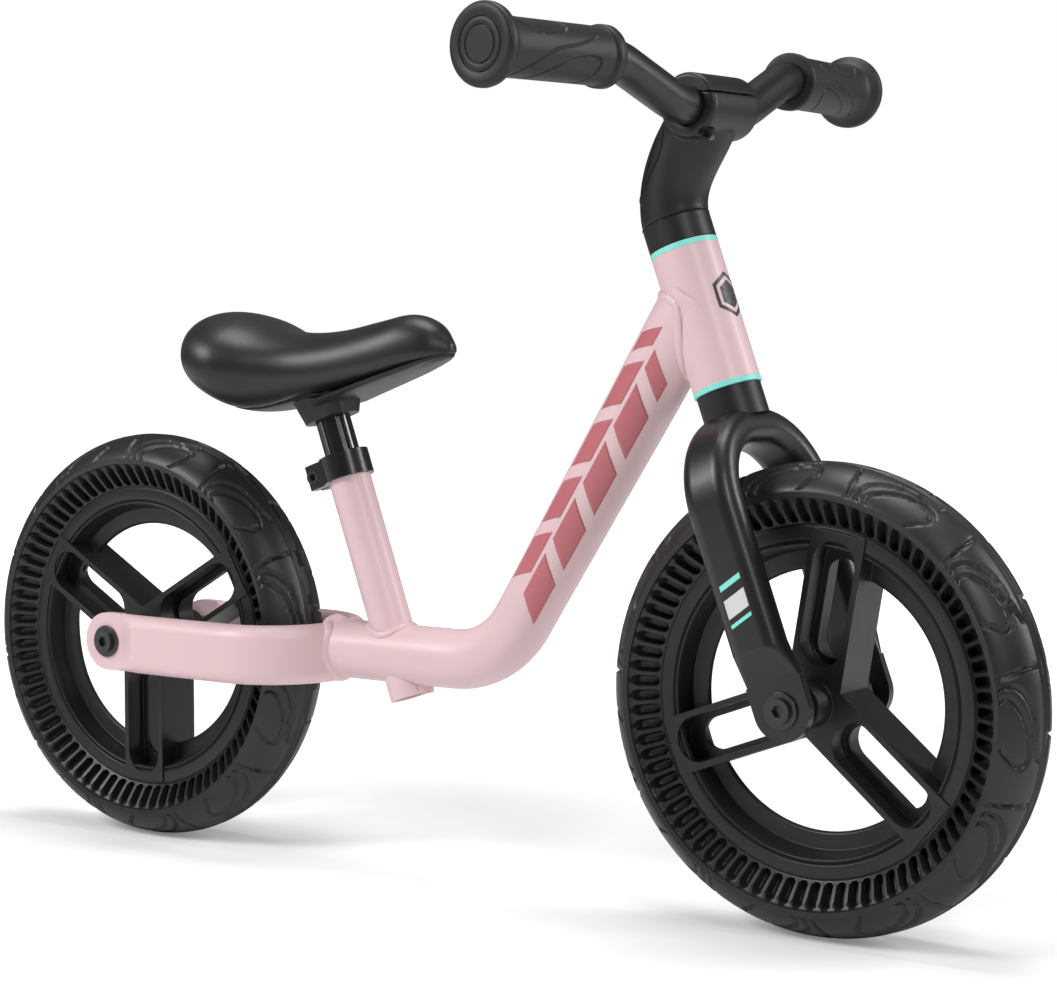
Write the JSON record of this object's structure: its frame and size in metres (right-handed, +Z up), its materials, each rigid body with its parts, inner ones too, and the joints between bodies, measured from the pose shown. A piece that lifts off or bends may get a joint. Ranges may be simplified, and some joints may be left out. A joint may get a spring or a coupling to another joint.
{
  "type": "balance bike",
  "caption": "Child's pedal-free balance bike with bent-tube frame, padded saddle on a sliding post, steering fork and stem, and moulded spoked wheels with airless tyres.",
  "frame": {"origin": "on the ground under the middle of the bike, midway between the axles", "axes": "+X forward along the bike, +Y to the rider's left, +Z up"},
  "size_m": [0.734, 0.379, 0.4826],
  "materials": {
    "frame_paint": "satin",
    "seal_mint": "satin",
    "bearing_steel": "satin",
    "black_plastic": "satin",
    "black_coated_metal": "satin",
    "fork_paint": "matte",
    "post_gloss": "gloss",
    "saddle_skin": "satin",
    "grip_rubber": "matte",
    "bolt_black": "satin",
    "rim_nylon": "satin",
    "tyre_rubber": "matte"
  },
  "bodies": {
    "frame": {"main_tube": "frame_paint", "head_tube": "frame_paint", "seat_tube": "frame_paint", "rear_yoke": "frame_paint", "headset_seal_lower": "seal_mint", "headset_seal_upper": "seal_mint", "headset_bearing_lower": "bearing_steel", "headset_bearing_upper": "bearing_steel", "seat_clamp": "black_coated_metal", "seat_clamp_bolt": "bolt_black", "seat_clamp_nut": "bolt_black", "rear_axle": "bearing_steel", "rear_spacer_left": "bolt_black", "rear_spacer_right": "bolt_black", "rear_axle_bolt_left": "bolt_black", "rear_axle_bolt_right": "bolt_black"},
    "saddle_assembly": {"seat_post": "post_gloss", "saddle_base": "black_plastic", "saddle_bracket": "black_plastic", "saddle_pad": "saddle_skin"},
    "steering": {"fork": "fork_paint", "steerer_tube": "fork_paint", "lower_collar": "black_plastic", "upper_collar": "black_plastic", "stem_body": "black_plastic", "stem_cap": "black_plastic", "stem_rear_cover": "black_plastic", "stem_clamp_screw": "bolt_black", "handlebar": "fork_paint", "grip_left": "grip_rubber", "grip_right": "grip_rubber", "front_axle": "bearing_steel", "front_spacer_left": "bolt_black", "front_spacer_right": "bolt_black", "front_axle_bolt_left": "bolt_black", "front_axle_bolt_right": "bolt_black"},
    "front_wheel": {"front_rim": "rim_nylon", "front_tyre": "tyre_rubber", "front_bearing_left": "bearing_steel", "front_bearing_right": "bearing_steel"},
    "rear_wheel": {"rear_rim": "rim_nylon", "rear_tyre": "tyre_rubber", "rear_bearing_left": "bearing_steel", "rear_bearing_right": "bearing_steel"}
  },
  "joints": [
    {"name": "steering_turn", "type": "hinge", "parent": "frame", "child": "steering", "pos_m": [0.16506, 0, 0.32852], "axis": [-0.3486, 0, 0.9373], "range_deg": [-60, 60]},
    {"name": "front_wheel_spin", "type": "hinge", "parent": "steering", "child": "front_wheel", "pos_m": [0.24, 0, 0.127], "axis": [0, 1, 0], "continuous": true},
    {"name": "rear_wheel_spin", "type": "hinge", "parent": "frame", "child": "rear_wheel", "pos_m": [-0.24, 0, 0.127], "axis": [0, 1, 0], "continuous": true},
    {"name": "saddle_height", "type": "slide", "parent": "frame", "child": "saddle_assembly", "axis": [-0.342, 0, 0.9397], "range_m": [-0.014, 0.06]}
  ]
}
